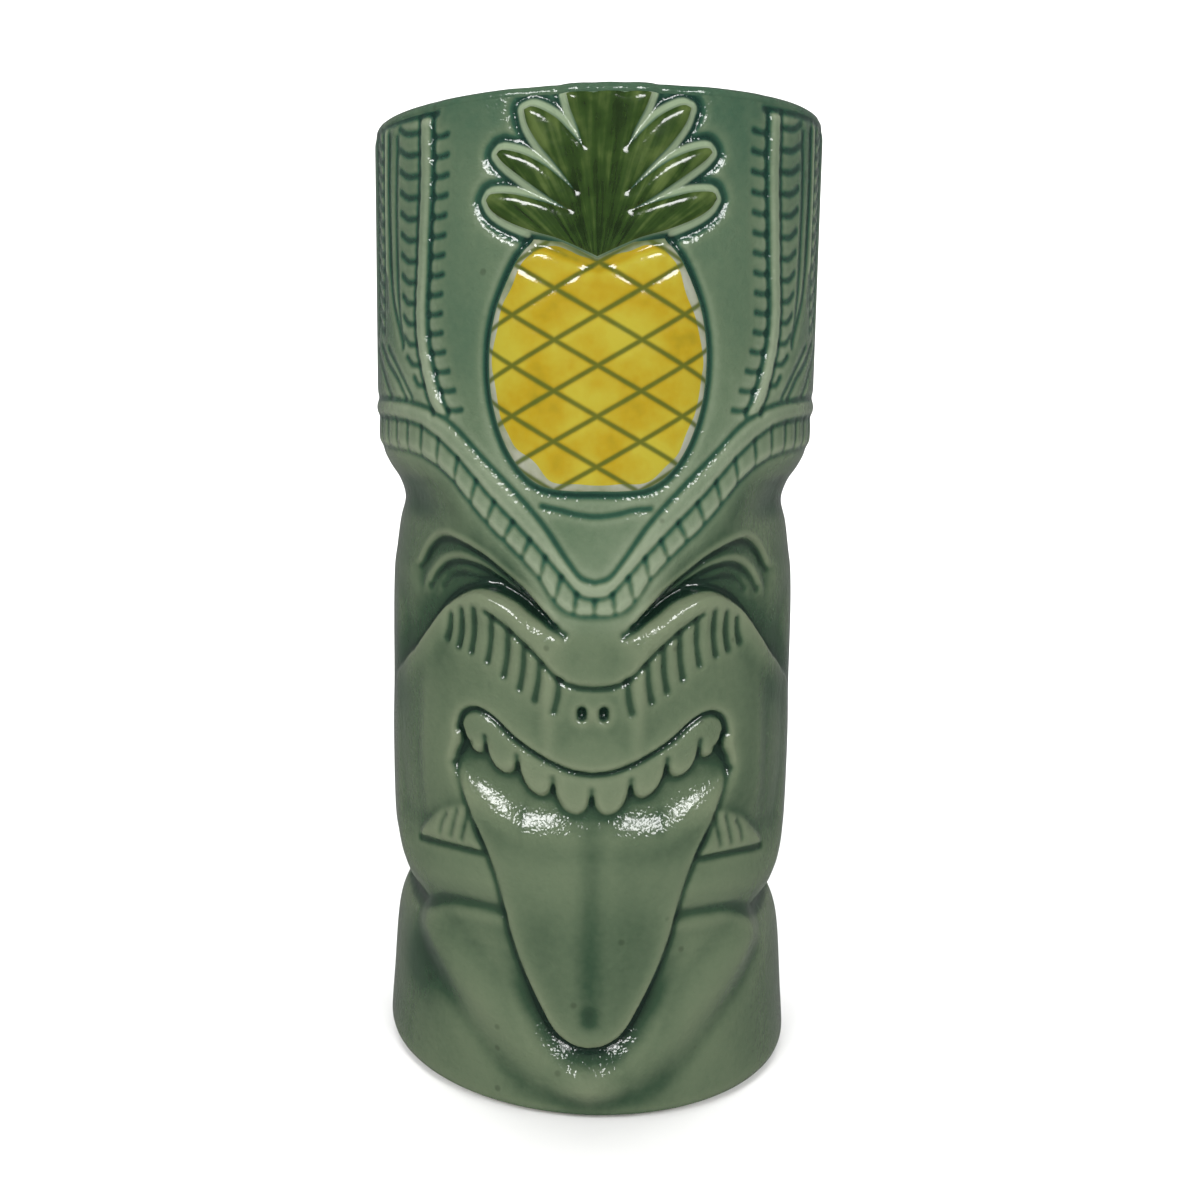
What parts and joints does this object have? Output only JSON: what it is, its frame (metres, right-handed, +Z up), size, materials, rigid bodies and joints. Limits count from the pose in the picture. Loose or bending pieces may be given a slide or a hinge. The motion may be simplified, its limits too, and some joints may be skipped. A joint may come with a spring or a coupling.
{
  "type": "tiki mug",
  "caption": "Tall glazed ceramic drinking mug carved as a squatting figure with an open mouth and long tongue, under a drum-shaped headdress with a painted pineapple.",
  "frame": {"origin": "centre of the circle that the foot ring stands on", "axes": "+Z up along the vessel's axis; the figure faces -Y; +X is the right of a viewer in front"},
  "size_m": [0.08, 0.08, 0.17],
  "materials": {
    "celadon_glaze": "gloss",
    "bare_clay": "matte",
    "pale_slip": "gloss",
    "yellow_glaze": "gloss",
    "leaf_green_glaze": "gloss"
  },
  "bodies": {
    "root": {"cup": "celadon_glaze", "foot_ring": "bare_clay", "plinth": "celadon_glaze", "torso_back": "celadon_glaze", "left_thigh": "celadon_glaze", "right_thigh": "celadon_glaze", "left_arm": "celadon_glaze", "right_arm": "celadon_glaze", "left_hand": "celadon_glaze", "right_hand": "celadon_glaze", "muzzle": "celadon_glaze", "nose": "celadon_glaze", "left_eye_fold": "celadon_glaze", "right_eye_fold": "celadon_glaze", "upper_teeth": "celadon_glaze", "tongue": "celadon_glaze", "headdress_visor": "celadon_glaze", "headdress_band": "celadon_glaze", "headdress_hem": "celadon_glaze", "headdress_back": "celadon_glaze", "left_panel": "celadon_glaze", "right_panel": "celadon_glaze", "left_fringe": "celadon_glaze", "right_fringe": "celadon_glaze", "pineapple_fruit": "pale_slip", "pineapple_scales": "yellow_glaze", "pineapple_crown": "leaf_green_glaze"}
  },
  "joints": []
}
